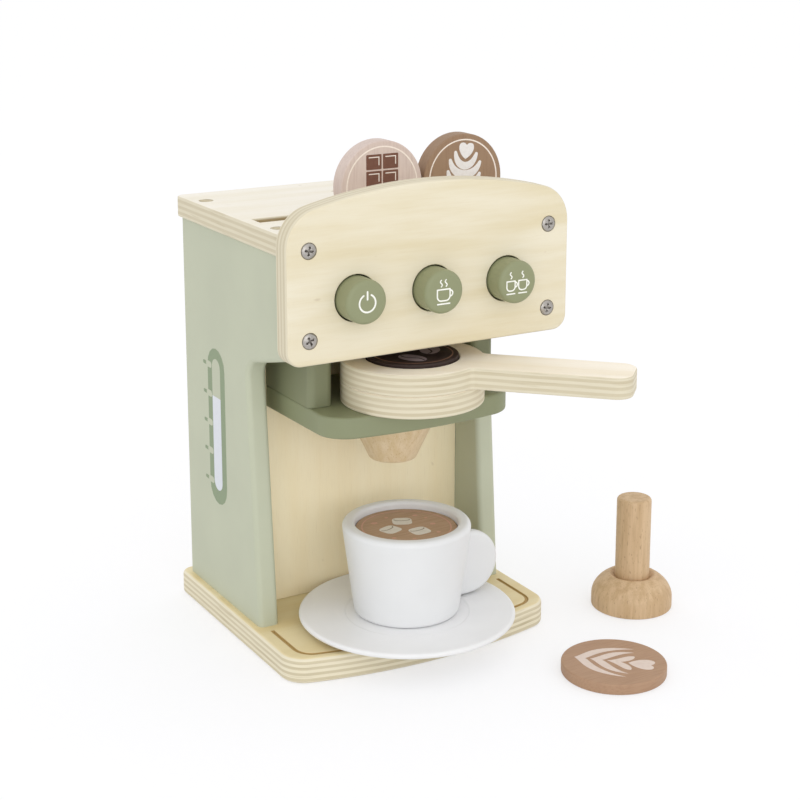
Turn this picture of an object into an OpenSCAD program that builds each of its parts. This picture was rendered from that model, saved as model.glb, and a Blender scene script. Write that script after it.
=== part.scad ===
// Toy coffee maker in plywood, with its filter holder, coffee discs, cup, saucer and tamper.
// X runs to the right, Y to the back, Z up. The origin is the middle of the base's underside.

/* [Boards] */
// Thickness of the plywood boards
board_t = 11.5; // [9:0.5:14]
// Thickness of the base board
base_t = 14; // [10:0.5:18]
// Thickness of the board behind the cup
alcove_t = 9; // [6:0.5:12]
// Thickness of the rear panel
rear_t = 6; // [4:0.5:9]
// Gap left round a glued dowel or screw
glue_gap = 0.05; // [0.02:0.01:0.1]

/* [Base] */
// Width of the base board
base_w = 160; // [154:1:180]
// Depth of the base board at the middle of its bow
base_d = 155; // [150:1:175]
// Radius of the bowed front edges and of the front board's arch
bow_r = 276; // [220:2:400]
// Radius of the base's front corners
base_corner_r = 14; // [8:1:20]
// Radius of the base's back corners
base_back_r = 6; // [3:0.5:12]
// How far the tray line lies inside the base's sides
tray_inset = 8; // [6:0.5:12]
// How far the tray line lies inside the base's bowed front
tray_front = 5; // [4:0.5:10]
// Radius of the tray line's corners
tray_r = 11; // [6:1:16]
// Width of the tray line
tray_line_w = 1.4; // [0.8:0.1:2.5]
// Depth of the tray line
tray_line_d = 0.8; // [0.4:0.1:1.5]
// Gap between the end of the tray line and the side panels
tray_line_gap = 6; // [3:0.5:10]

/* [Side panels] */
// Width over both side panels
body_w = 151.5; // [142:0.5:154]
// Depth of the side panels at the top
body_d = 132; // [124:1:136]
// Height of the side panels
side_h = 208.7; // [200:0.5:230]
// How far the foot of a side panel stands behind the front board
foot_set = 40; // [30:1:46]
// How far the waist of a side panel stands behind the front board
waist_set = 51; // [47:1:60]
// Drop of the overhang's underside from the front board to the waist
nose_drop = 13; // [6:0.5:16]
// Radius of the hollow corner under the overhang
nose_r = 10; // [5:0.5:16]

/* [Front board] */
// Width of the front board
front_w = 165; // [160:1:180]
// Height of the front board at the middle of its arch
front_h = 86.4; // [82:0.2:96]
// Height of the open bay, from the base to the front board
bay_h = 156.8; // [150:0.2:166]
// How far the base's bow reaches in front of the front board
front_lead = 4; // [2:0.5:10]
// Radius of the front board's top corners
front_top_r = 20; // [12:1:26]
// Radius of the front board's lower corners
front_low_r = 8; // [4:0.5:12]
// Height of the lower screws above the front board's lower edge
screw_rise = 12.7; // [8:0.1:16]

/* [Top board] */
// Overhang of the top board past each side panel
top_over = 2; // [0:0.5:5]
// Overhang of the top board past the back of the side panels
top_back = 4.5; // [0:0.5:7]
// Length of a disc slot
slot_l = 42; // [36:0.5:44]
// Width of a disc slot
slot_w = 10.4; // [10.2:0.1:13]
// Spacing of the slots
slot_pitch = 50; // [49.5:0.1:50.5]
// Distance from the front board to the middle of the slots
slot_set = 45.5; // [36:0.5:52]
// Number of slots
slot_n = 3; // [3:1:3]
// Distance of the first plug from the front board
plug_first = 21.9; // [21.5:0.1:28]
// Distance between the two plugs over a side panel
plug_pitch = 89.4; // [70:0.2:96]

/* [Shelf] */
// Depth of the alcove behind the front board
alcove_d = 69.5; // [66:0.5:72]
// Width of the shelf
shelf_w = 112; // [104:1:120]
// Depth of the shelf
shelf_d = 79; // [72:0.5:81]
// Radius of the shelf's front corners
shelf_r = 17; // [8:1:22]
// Height of the shelf's underside above the base
shelf_rise = 113.3; // [104:0.1:115]
// Thickness of a cheek block
cheek_w = 14; // [9:0.5:14]
// Length of a cheek block
cheek_l = 52; // [40:1:56]
// Step of the ceiling board above the front board's lower edge
ceiling_step = 1; // [0.5:0.1:3]
// Top diameter of the spout
spout_d = 50; // [36:1:60]
// Tip diameter of the spout
spout_tip_d = 25.2; // [16:0.2:30]
// Height of the spout
spout_h = 26.3; // [18:0.1:30]

/* [Buttons] */
// Diameter of a button
button_d = 22.6; // [18:0.2:25]
// Gap round a button in its hole
button_gap = 0.7; // [0.3:0.1:1.2]
// How far a button stands out of the front board
button_out = 11.5; // [8:0.5:14]
// Travel of a button
button_travel = 6; // [3:0.5:7]
// Spacing of the buttons
button_pitch = 44.1; // [38:0.1:48]
// Height of the buttons above the front board's lower edge
button_rise = 31.4; // [28:0.1:36]
// Diameter of the collar that keeps a button in
collar_d = 29; // [27:0.5:31]
// Thickness of the collar
collar_t = 3; // [2:0.5:5]
// Diameter of a button's stem
stem_d = 8; // [6:0.5:10]
// Running gap round a stem
stem_gap = 0.05; // [0.02:0.01:0.1]
// Length of a spring at rest
spring_l = 10; // [9:0.5:14]
// Wire diameter of a spring
wire_d = 0.8; // [0.5:0.1:1]
// Mean diameter of a spring
spring_d = 12; // [11:0.5:16]
// Thickness of the rail that guides the stems
rail_t = 9; // [6:0.5:12]

/* [Filter holder] */
// Diameter of the filter holder's head
head_d = 75.6; // [68:0.2:80]
// Width of the handle
grip_w = 29.6; // [22:0.2:34]
// Reach of the handle from the middle of the head
grip_reach = 116; // [95:1:130]
// Corner radius of the handle's end
grip_end_r = 9; // [4:0.5:14]
// Radius of the neck's hollow corners
neck_r = 4; // [2:1:20]
// How far the head's middle lies in front of its seat
head_pull = 22.5; // [16:0.5:24]
// Turn of the handle from straight forward
grip_turn = 45.3; // [10:0.1:52]
// Depth of the disc recess
recess_h = 8; // [5:0.5:9]
// Gap round a disc in a recess
disc_gap = 0.3; // [0.2:0.1:0.8]

/* [Coffee discs] */
// Diameter of the thick discs
disc_d = 48.6; // [46:0.2:49.2]
// Thickness of the thick discs
disc_t = 9.8; // [9.2:0.1:10]
// Diameter of the thin discs
latte_d = 55; // [50:0.5:55.5]
// Thickness of the thin discs
latte_t = 5.8; // [4:0.2:6]
// Rounding of a disc's rims
disc_round = 0.8; // [0.4:0.1:1.4]
// Distance of the loose thin disc to the right of the machine's middle
loose_x = 74.8; // [64:0.2:90]
// Distance of the loose thin disc in front of the base's middle
loose_y = 133.7; // [130:0.1:150]

/* [Cup and saucer] */
// Distance of the cup's middle to the right of the machine's middle
cup_x = -0.6; // [-2:0.2:2]
// Distance of the saucer's middle to the right of the machine's middle
saucer_x = -2; // [-3:0.2:3]
// Diameter of the cup's rim
cup_d = 69.2; // [68:0.2:78]
// Diameter of the cup's foot
cup_foot_d = 57.2; // [50:0.2:60]
// Height of the cup
cup_h = 50.3; // [44:0.1:54]
// Depth of the disc's seat below the cup's rim
seat_h = 9.7; // [6.5:0.1:11]
// Width of the ledge that carries the disc
ledge_w = 4; // [2.5:0.5:6]
// Thickness of the cup's floor
cup_floor = 6; // [3:0.5:10]
// Rounding of the cup's rim and foot
cup_round = 2.2; // [1:0.1:3]
// Rounding of the cup's mouth
mouth_round = 0.8; // [0.4:0.1:1.2]
// Thickness of the cup's handle
handle_t = 7; // [5:0.5:10]
// Radius of the cup's handle
handle_r = 18; // [14:0.5:20]
// Distance of the handle's middle from the cup's axis
handle_off = 38.4; // [36:0.2:42]
// Height of the handle's lowest point above the cup's foot
handle_lift = 1.1; // [0.9:0.1:3]
// Diameter of the saucer
saucer_d = 116.6; // [110:0.2:117]
// Height of the saucer's rim
saucer_h = 6.8; // [6.2:0.1:8]
// Thickness of the saucer's middle
saucer_t = 5.5; // [3.5:0.1:5.6]
// Diameter of the saucer's well
well_d = 66; // [64:0.5:72]
// Distance of the saucer's middle in front of the base's middle
saucer_y = 51; // [51:0.2:56]
// Distance of the cup's middle in front of the base's middle
cup_y = 48; // [46.8:0.2:54]

/* [Tamper] */
// Diameter of the tamper's head
tamper_d = 45.6; // [40:0.2:48]
// Height of the tamper's head
tamper_head_h = 19; // [14:0.2:22]
// Height of the straight foot of the tamper's head
tamper_foot_h = 6; // [3:0.5:8]
// Diameter of the tamper's handle
tamper_grip_d = 19.4; // [16:0.2:24]
// Height of the whole tamper
tamper_h = 64.5; // [54:0.5:76]
// Depth of the handle's socket
tamper_socket = 10; // [6:0.5:12]
// Distance of the tamper to the right of the machine's middle
tamper_x = 136.2; // [130:0.2:150]
// Distance of the tamper in front of the base's middle
tamper_y = 68.3; // [60:0.1:80]

/* [Fixings] */
// Diameter of the plugs and dowels
dowel_d = 8; // [6:0.5:8.5]
// Length of the plugs in the top
plug_l = 30; // [20:1:40]
// Length of the dowels in the shelf
dowel_l = 28; // [20:1:34]
// Head diameter of the screws
screw_head_d = 8.6; // [7:0.2:9.4]
// Height of the screw head's dome
screw_dome = 0.9; // [0.5:0.1:1.2]
// Shank diameter of the screws
screw_d = 4; // [3:0.2:5]
// How deep a screw reaches into the second board
screw_bite = 16.5; // [10:0.5:16.5]

/* [Hidden] */
$fn = 96;

// Levels and planes that the pieces share
inner_w = body_w - 2*board_t;              // clear width between the side panels
front_y = front_lead - base_d/2;           // outer face of the front board
housing_y = front_y + board_t;             // back of the front board, front of the housing
back_y = housing_y + body_d;               // back edges of the side panels
alcove_y = housing_y + alcove_d;           // face of the board behind the cup
front_z = base_t + bay_h;                  // lower edge of the front board
ceiling_z = front_z + ceiling_step;        // underside of the ceiling board
deck_z = base_t + side_h;                  // underside of the top board
top_z = deck_z + board_t;                  // upper face of the top board
side_x = body_w/2 - board_t/2;             // middle of a side panel
shelf_z = base_t + shelf_rise;             // underside of the shelf
shelf_top = shelf_z + board_t;             // upper face of the shelf
button_z = front_z + button_rise;          // axis of the buttons
rail_y = housing_y + collar_t + spring_l;  // face of the rail behind the buttons
slot_y = housing_y + slot_set;             // middle line of the slots
seat_y = alcove_y - head_d/2;              // head's middle when pushed right in
head_y = seat_y - head_pull;               // head's middle as it lies
bob_z = top_z + sqrt(pow(disc_d/2, 2) - pow(slot_l/2, 2)) + 0.05;  // disc resting in a slot
screw_zs = [front_z + screw_rise, deck_z + board_t/2];
foot_z = base_t + saucer_t;                // underside of the cup

// Outline of a board with one bowed end: w wide, l long at the middle, flat end at y = 0,
// bow radius br, corner radius rc at the bow and rb at the flat end, all drawn in by e.
module bowed(w, l, br, rc, rb, e = 0) {
    hw = w/2 - e;
    a = rc - e;
    b = max(rb - e, 0.6);
    r = br - e;
    xk = hw - a;
    vk = l - e - r + sqrt(pow(r - a, 2) - xk*xk);
    xt = xk*r/(r - a);
    intersection() {
        translate([0, l - e - r]) circle(r = r, $fn = 360);
        translate([-xt, vk]) square([2*xt, l]);
    }
    translate([-hw, e + b]) square([2*hw, vk - e - b]);
    translate([b - hw, e]) square([2*(hw - b), b]);
    for (s = [-1, 1]) {
        translate([s*xk, vk]) circle(r = a);
        translate([s*(hw - b), e + b]) circle(r = b);
    }
}

// The same, laid flat with its bow to the front and its flat end at y = back
module laid(back, z, t) {
    translate([0, back, z]) mirror([0, 1, 0]) linear_extrude(t) children();
}

// A round piece along Y, from the plane y to the plane y + l
module rod_y(d, y, l) { translate([0, y, 0]) rotate([-90, 0, 0]) cylinder(d = d, h = l); }

// Base: bowed board with a burned tray line and four screw holes
module base_board() color("#d8c69a") difference() {
    laid(base_d/2, 0, base_t) bowed(base_w, base_d, bow_r, base_corner_r, base_back_r);
    intersection() {
        laid(base_d/2, base_t - tray_line_d, 2*tray_line_d) difference() {
            bowed(base_w - 2*tray_inset, base_d - tray_front, bow_r, tray_r, 4);
            bowed(base_w - 2*tray_inset, base_d - tray_front, bow_r, tray_r, 4, tray_line_w);
        }
        line_end = housing_y + foot_set - tray_line_gap;
        translate([-base_w, line_end - base_d, 0]) cube([2*base_w, base_d, 2*base_t]);
    }
    for (s = [-1, 1], y = base_screw_ys) translate([s*side_x, y, 0]) screw_hole(base_t + screw_bite);
}
base_screw_ys = [housing_y + foot_set + 20, back_y - 20];

// Side panel: narrow leg below, reaching forward above a hollow corner
module side_panel(x) {
    n0 = [housing_y, front_z];
    w0 = [housing_y + waist_set, front_z - nose_drop];
    f0 = [housing_y + foot_set, base_t];
    u1 = (n0 - w0)/norm(n0 - w0);
    u2 = (f0 - w0)/norm(f0 - w0);
    half = acos(u1*u2)/2;
    tl = nose_r/tan(half);
    um = (u1 + u2)/norm(u1 + u2);
    c = w0 + um*nose_r/sin(half);
    translate([x, 0, 0]) rotate([90, 0, 90]) linear_extrude(board_t) difference() {
        polygon([f0, w0 + u2*tl, c, w0 + u1*tl, n0, [housing_y, deck_z], [back_y, deck_z],
                 [back_y, base_t]]);
        translate(c) circle(r = nose_r);
    }
}
module panel_bores(x) {
    for (y = base_screw_ys) translate([x, y, 0]) screw_hole(base_t + screw_bite);
    for (y = plug_ys) translate([x, y, top_z - plug_l - glue_gap])
        cylinder(d = dowel_d + 2*glue_gap, h = 2*plug_l);
    translate([x, front_y, screw_zs[0]]) rotate([-90, 0, 0]) screw_hole(board_t + screw_bite);
}
plug_ys = [housing_y + plug_first, housing_y + plug_first + plug_pitch];
module left_side_panel() color("#c2c7b0") difference() {
    side_panel(-body_w/2);
    panel_bores(-side_x);
}
module right_side_panel() color("#c2c7b0") difference() {
    side_panel(body_w/2 - board_t);
    panel_bores(side_x);
}

// Board behind the cup, up to the ceiling, with two dowel holes for the shelf
module alcove_back_panel() color("#d9caa0") difference() {
    translate([-inner_w/2, alcove_y, base_t]) cube([inner_w, alcove_t, ceiling_z - base_t]);
    for (s = [-1, 1]) translate([s*shelf_w/4, 0, shelf_z + board_t/2])
        rod_y(dowel_d + 2*glue_gap, alcove_y - 1, alcove_t + 2);
}

// Ceiling of the bay and floor of the housing, from the front board to behind the alcove board
module ceiling_board() color("#e2d6b8")
    translate([-inner_w/2, housing_y, ceiling_z])
        cube([inner_w, alcove_d + alcove_t, board_t]);

// Rear panel, let in between the side panels
module rear_panel() color("#d9caa0")
    translate([-inner_w/2, back_y - rear_t, base_t]) cube([inner_w, rear_t, side_h]);

// Top board with a row of upright slots, plug holes and two screw holes in its front edge
module top_board() color("#f0e7d3") difference() {
    translate([0, back_y + top_back, deck_z]) mirror([0, 1, 0]) linear_extrude(board_t)
        top_outline(body_w + 2*top_over, body_d + top_back, 5);
    for (i = [0:slot_n - 1])
        translate([(i - (slot_n - 1)/2)*slot_pitch - slot_l/2, slot_y - slot_w/2, deck_z - 1])
            cube([slot_l, slot_w, board_t + 2]);
    for (s = [-1, 1]) {
        for (y = plug_ys) translate([s*side_x, y, deck_z - 1])
            cylinder(d = dowel_d + 2*glue_gap, h = board_t + 2);
        translate([s*side_x, front_y, screw_zs[1]]) rotate([-90, 0, 0])
            screw_hole(board_t + screw_bite);
    }
}
module top_outline(w, l, r) {
    translate([-w/2, r]) square([w, l - r]);
    translate([r - w/2, 0]) square([w - 2*r, r]);
    for (s = [-1, 1]) translate([s*(w/2 - r), r]) circle(r = r);
}

// Front board: arched top, three button holes and four countersunk screws
module front_board() color("#eae1cb") difference() {
    translate([0, housing_y, front_z]) rotate([90, 0, 0]) linear_extrude(board_t)
        bowed(front_w, front_h, bow_r, front_top_r, front_low_r);
    for (i = [-1:1]) translate([i*button_pitch, 0, button_z])
        rod_y(button_d + 2*button_gap, front_y - 1, board_t + 2);
    for (s = [-1, 1], z = screw_zs) translate([s*side_x, front_y, z])
        rotate([-90, 0, 0]) screw_hole(board_t + screw_bite);
}

// Rail across the housing that guides the three stems
module button_rail() color("#e2d6b8") difference() {
    translate([-inner_w/2, rail_y, ceiling_z + board_t])
        cube([inner_w, rail_t, deck_z - ceiling_z - board_t]);
    for (i = [-1:1]) translate([i*button_pitch, 0, button_z])
        rod_y(stem_d + 2*stem_gap, rail_y - 1, rail_t + 2);
}

// Cheek blocks between the shelf and the ceiling, rounded at the front
module cheek(s) {
    r = 4;
    x0 = s > 0 ? shelf_w/2 - cheek_w : -shelf_w/2;
    translate([x0 + cheek_w/2, alcove_y, shelf_top]) mirror([0, 1, 0])
        linear_extrude(ceiling_z - shelf_top) {
            translate([-cheek_w/2, 0]) square([cheek_w, cheek_l - r]);
            translate([r - cheek_w/2, 0]) square([cheek_w - 2*r, cheek_l]);
            for (k = [-1, 1]) translate([k*(cheek_w/2 - r), cheek_l - r]) circle(r = r);
        }
}
module left_cheek() color("#8b9070") cheek(-1);
module right_cheek() color("#8b9070") cheek(1);

// Shelf with a bowed front, doweled to the alcove board
module drip_shelf() color("#8b9070") difference() {
    laid(alcove_y, shelf_z, board_t) bowed(shelf_w, shelf_d, bow_r, shelf_r, 1);
    for (s = [-1, 1]) translate([s*shelf_w/4, 0, shelf_z + board_t/2])
        rod_y(dowel_d + 2*glue_gap, alcove_y + alcove_t - dowel_l - glue_gap, dowel_l);
}
module shelf_dowels() color("#d9caa0") for (s = [-1, 1])
    translate([s*shelf_w/4, 0, shelf_z + board_t/2])
        rod_y(dowel_d, alcove_y + alcove_t - dowel_l, dowel_l);

// Turned spout under the middle of the shelf
module spout() color("#dbc49c") translate([0, alcove_y - shelf_d/2, shelf_z - spout_h])
    cylinder(d1 = spout_tip_d, d2 = spout_d, h = spout_h);

// Plugs through the top board into the side panels
module top_dowels() color("#d9b98a") for (s = [-1, 1], y = plug_ys)
    translate([s*side_x, y, top_z - plug_l]) cylinder(d = dowel_d, h = plug_l);

// Countersunk screw of length l, head at z = 0 and shank along +Z, and its hole
module screw_shape(l, g) {
    cylinder(d1 = screw_head_d + 2*g, d2 = screw_d + 2*g, h = (screw_head_d - screw_d)/2);
    cylinder(d = screw_d + 2*g, h = l + g);
}
module screw_hole(l) {
    screw_shape(l, glue_gap);
    translate([0, 0, -2]) cylinder(d = screw_head_d + 2*glue_gap, h = 2.01);
}
module screw(l, dome) difference() {
    r = (pow(screw_head_d/2, 2) + pow(screw_dome, 2))/(2*screw_dome);
    union() {
        screw_shape(l, 0);
        if (dome) intersection() {
            translate([0, 0, r - screw_dome]) sphere(r = r, $fn = 180);
            translate([0, 0, -screw_dome]) cylinder(d = screw_head_d, h = screw_dome);
        }
    }
    for (a = [0, 90]) rotate([0, 0, a])
        translate([-screw_head_d*0.28, -0.5, -3]) cube([screw_head_d*0.56, 1, 4.2]);
}
module base_screws() color("#b9bbbd") for (s = [-1, 1], y = base_screw_ys)
    translate([s*side_x, y, 0]) screw(base_t + screw_bite, false);
module front_screws() color("#b9bbbd") for (s = [-1, 1], z = screw_zs)
    translate([s*side_x, front_y, z]) rotate([-90, 0, 0]) rotate([0, 0, 30])
        screw(board_t + screw_bite, true);

// Push button: rounded head, collar behind the front board, stem through the rail
module button(i) {
    e = 2;
    head_l = button_out + board_t;
    stem_l = spring_l + rail_t + 1;
    translate([i*button_pitch, housing_y + 0.02, button_z]) rotate([90, 0, 0]) rotate_extrude() {
        square([button_d/2, head_l - e]);
        square([button_d/2 - e, head_l]);
        translate([button_d/2 - e, head_l - e]) circle(r = e, $fn = 48);
        translate([0, -collar_t]) square([collar_d/2, collar_t]);
        translate([0, -collar_t - stem_l]) square([stem_d/2, stem_l + 1]);
    }
}
module button_power() color("#949b78") button(-1);
module button_one_cup() color("#949b78") button(0);
module button_two_cups() color("#949b78") button(1);

// Coil spring round a stem, between collar and rail: a wire swept along a helix
spring_turns = 4;
spring_sides = 8;
spring_steps = 20*spring_turns;
function spring_at(k) = let (a = 360*spring_turns*k/spring_steps)
    [spring_d/2*cos(a), spring_d/2*sin(a),
     wire_d/2 + 0.05 + (spring_l - wire_d - 0.1)*k/spring_steps];
function spring_ring(k) = let (a = 360*spring_turns*k/spring_steps)
    [for (j = [0:spring_sides - 1]) let (b = 360*j/spring_sides)
        spring_at(k) + wire_d/2*(cos(b)*[cos(a), sin(a), 0] + sin(b)*[0, 0, 1])];
module spring(i) {
    n = spring_sides;
    m = spring_steps;
    pts = [for (k = [0:m]) each spring_ring(k)];
    sides = [for (k = [0:m - 1], j = [0:n - 1])
        [k*n + j, (k + 1)*n + j, (k + 1)*n + (j + 1)%n, k*n + (j + 1)%n]];
    ends = [[for (j = [0:n - 1]) j], [for (j = [n - 1:-1:0]) m*n + j]];
    translate([i*button_pitch, housing_y + collar_t, button_z]) rotate([-90, 0, 0])
        polyhedron(points = pts, faces = concat(sides, ends), convexity = 6);
}
module spring_power() color("#c3c5c8") spring(-1);
module spring_one_cup() color("#c3c5c8") spring(0);
module spring_two_cups() color("#c3c5c8") spring(1);

// Filter holder: round head and flat handle on top, a round layer below, a recess for a disc
module grip_outline() {
    r1 = head_d/2;
    w = grip_w/2;
    cy = w + neck_r;
    cx = sqrt(pow(r1 + neck_r, 2) - cy*cy);
    tx = cx*r1/(r1 + neck_r);
    ty = cy*r1/(r1 + neck_r);
    circle(r = r1, $fn = 144);
    difference() {
        polygon([[0, 0], [tx, -ty], [cx, -cy], [cx, cy], [tx, ty]]);
        for (s = [-1, 1]) translate([cx, s*cy]) circle(r = neck_r + 0.03);
    }
    translate([0, -w]) square([grip_reach - grip_end_r, grip_w]);
    translate([cx, grip_end_r - w]) square([grip_reach - cx, grip_w - 2*grip_end_r]);
    for (s = [-1, 1])
        translate([grip_reach - grip_end_r, s*(w - grip_end_r)]) circle(r = grip_end_r);
}
module at_head() translate([0, head_y, shelf_top]) rotate([0, 0, grip_turn - 90]) children();
module portafilter_disc() color("#e6dcc0") at_head() cylinder(d = head_d, h = board_t, $fn = 144);
module portafilter_plate() color("#efe4c9") at_head() translate([0, 0, board_t]) difference() {
    linear_extrude(board_t) grip_outline();
    translate([0, 0, board_t - recess_h]) cylinder(d = disc_d + 2*disc_gap, h = board_t);
}

// Wooden coffee disc with rounded rims, lying at z = 0
module disc(d, t) {
    e = disc_round;
    rotate_extrude() {
        square([d/2 - e, t]);
        translate([0, e]) square([d/2, t - 2*e]);
        for (z = [e, t - e]) translate([d/2 - e, z]) circle(r = e, $fn = 32);
    }
}
module slotted(i) translate([i*slot_pitch, slot_y + disc_t/2, bob_z]) rotate([90, 0, 0])
    disc(disc_d, disc_t);
module pod_espresso() color("#2a1a18") at_head() translate([0, 0, 2*board_t - recess_h])
    disc(disc_d, disc_t);
module pod_chocolate() color("#d6c2b4") slotted(0);
module pod_tulip() color("#a88566") slotted(1);
module pod_cocoa() color("#a5846b")
    translate([cup_x, -cup_y, foot_z + cup_h - seat_h]) disc(latte_d, latte_t);
module pod_rosette() color("#c49b7d") translate([loose_x, -loose_y, 0]) disc(latte_d, latte_t);

// Cup: turned body with a ledge near the rim that carries a thin disc
function arc(c, r, a0, a1, n) = [for (k = [0:n]) c + r*[cos(a0 + (a1 - a0)*k/n), sin(a0 + (a1 - a0)*k/n)]];
cup_lean = atan((cup_d - cup_foot_d)/2/(cup_h - 2*cup_round));
function wall_r(z) = cup_foot_d/2 - cup_round + cup_round/cos(cup_lean) + (z - cup_round)*tan(cup_lean);
module cup_body() color("#e6e6e4") {
    e = cup_round;
    m = mouth_round;
    seat_r = latte_d/2 + disc_gap;
    bore_r = latte_d/2 - ledge_w;
    translate([cup_x, -cup_y, foot_z]) rotate_extrude() polygon(concat(
        [[0, 0], [cup_foot_d/2 - e, 0]],
        arc([cup_foot_d/2 - e, e], e, -75, -cup_lean, 8),
        arc([cup_d/2 - e, cup_h - e], e, -cup_lean, 90, 9),
        arc([seat_r + m, cup_h - m], m, 90, 180, 6),
        [[seat_r, cup_h - seat_h], [bore_r, cup_h - seat_h],
         [bore_r - 2, cup_floor], [0, cup_floor]]));
}
// The cup's flat round handle, glued against the side of the body
module cup_handle() color("#e6e6e4") difference() {
    intersection() {
        translate([cup_x, -cup_y + handle_t/2, foot_z + handle_r + handle_lift]) rotate([90, 0, 0])
            linear_extrude(handle_t) {
                translate([handle_off, 0]) circle(r = handle_r);
                translate([cup_foot_d/2 - 8, -handle_r])
                    square([handle_off - cup_foot_d/2 + 8, 2*handle_r]);
            }
        translate([cup_x, -cup_y - cup_d, foot_z]) cube([2*cup_d, 2*cup_d, cup_h - cup_round]);
    }
    translate([cup_x, -cup_y, foot_z])
        cylinder(r1 = wall_r(0) + glue_gap, r2 = wall_r(cup_h) + glue_gap, h = cup_h);
}

// Saucer: flat foot, shallow well, rim rising outward
module saucer() color("#e8e8e6") translate([saucer_x, -saucer_y, base_t]) rotate_extrude()
    polygon(concat(
        [[0, 0], [well_d/2 + 4, 0], [saucer_d/2 - 4, saucer_h - 4]],
        arc([saucer_d/2 - 1.5, saucer_h - 1.5], 1.5, -50, 100, 8),
        [[saucer_d/2 - 9, saucer_h - 0.5], [well_d/2 + 5, saucer_t + 0.35],
         [well_d/2 + 1, saucer_t + 0.3], [well_d/2, saucer_t], [0, saucer_t]]));

// Tamper: turned head with a domed top and a round handle glued into it
tamper_steps = 14;
module tamper_head() color("#c9a678") translate([tamper_x, -tamper_y, 0]) rotate_extrude() {
    r = tamper_d/2;
    rs = tamper_grip_d/2 + glue_gap;
    hd = (tamper_head_h - tamper_foot_h)/sqrt(1 - pow(rs/r, 2));
    a1 = acos(rs/r);
    z0 = tamper_head_h - tamper_socket;
    polygon(concat([[0, 0], [r - 1, 0], [r, 1]],
        [for (k = [0:tamper_steps]) let (a = a1*k/tamper_steps)
            [r*cos(a), tamper_foot_h + hd*sin(a)]],
        [[rs, z0], [0, z0]]));
}
module tamper_handle() color("#d0ae80") {
    e = 2;
    z0 = tamper_head_h - tamper_socket;
    l = tamper_h - z0;
    translate([tamper_x, -tamper_y, z0]) rotate_extrude() {
        square([tamper_grip_d/2, l - e]);
        square([tamper_grip_d/2 - e, l]);
        translate([tamper_grip_d/2 - e, l - e]) circle(r = e, $fn = 48);
    }
}

base_board();
left_side_panel();
right_side_panel();
alcove_back_panel();
ceiling_board();
rear_panel();
top_board();
front_board();
button_rail();
left_cheek();
right_cheek();
drip_shelf();
spout();
shelf_dowels();
top_dowels();
base_screws();
front_screws();
button_power();
button_one_cup();
button_two_cups();
spring_power();
spring_one_cup();
spring_two_cups();
portafilter_plate();
portafilter_disc();
pod_espresso();
pod_chocolate();
pod_tulip();
pod_cocoa();
pod_rosette();
cup_body();
cup_handle();
saucer();
tamper_handle();
tamper_head();
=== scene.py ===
import math

import bmesh
import bpy
from mathutils import Matrix, Vector


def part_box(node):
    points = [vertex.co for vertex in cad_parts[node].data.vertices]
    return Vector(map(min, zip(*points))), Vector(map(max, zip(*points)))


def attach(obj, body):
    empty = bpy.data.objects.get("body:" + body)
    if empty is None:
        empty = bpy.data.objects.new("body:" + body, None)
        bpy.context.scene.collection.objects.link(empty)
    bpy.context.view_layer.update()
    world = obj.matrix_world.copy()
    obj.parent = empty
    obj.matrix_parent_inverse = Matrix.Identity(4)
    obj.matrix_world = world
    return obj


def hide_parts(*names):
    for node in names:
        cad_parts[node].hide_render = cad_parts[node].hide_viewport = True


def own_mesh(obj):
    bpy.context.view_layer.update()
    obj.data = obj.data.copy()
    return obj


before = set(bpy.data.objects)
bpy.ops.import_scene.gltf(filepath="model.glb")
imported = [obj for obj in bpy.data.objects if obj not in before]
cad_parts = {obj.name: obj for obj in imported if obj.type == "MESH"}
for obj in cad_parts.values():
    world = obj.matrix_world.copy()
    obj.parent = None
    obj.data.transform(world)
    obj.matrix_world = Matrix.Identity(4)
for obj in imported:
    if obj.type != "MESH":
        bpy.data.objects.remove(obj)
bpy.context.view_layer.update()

# ---- Camera: stands to the left of the machine and a little above it, at the
# height of a child's eyes, and looks at the middle of the front.
MM = 0.001
AZIMUTH, ELEVATION, ROLL = (math.radians(a) for a in (-29.387, 12.848, -0.121))
DISTANCE = 911.5 * MM
PICTURE_W, FOCAL_PX, SENSOR_W = 800, 1709.9, 36
look_at = Vector((1.8, -19.8, 195.5)) * MM
back = Vector((math.sin(AZIMUTH) * math.cos(ELEVATION),
               -math.cos(AZIMUTH) * math.cos(ELEVATION), math.sin(ELEVATION)))
level = (-back).cross(Vector((0, 0, 1))).normalized()
upright = level.cross(-back)
right = level * math.cos(ROLL) + upright * math.sin(ROLL)
up = upright * math.cos(ROLL) - level * math.sin(ROLL)


def added(name, data):
    """Makes an object of its data and puts it in the scene."""
    thing = bpy.data.objects.new(name, data)
    bpy.context.scene.collection.objects.link(thing)
    return thing


lens = bpy.data.cameras.new("camera")
lens.sensor_width = SENSOR_W
lens.lens = FOCAL_PX * SENSOR_W / PICTURE_W
lens.shift_x = 0.02
lens.shift_y = -0.15
lens.clip_start = 0.05
camera = added("camera", lens)
camera.matrix_world = Matrix((right, up, back)).transposed().to_4x4()
camera.location = look_at + back * DISTANCE
bpy.context.scene.camera = camera

# ---- Studio: a light tent. Nearly all the light comes from its white walls, and two
# weak soft lamps in front light the alcove. The floor keeps a faint shadow.
bpy.context.scene.view_settings.view_transform = "Standard"


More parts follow.
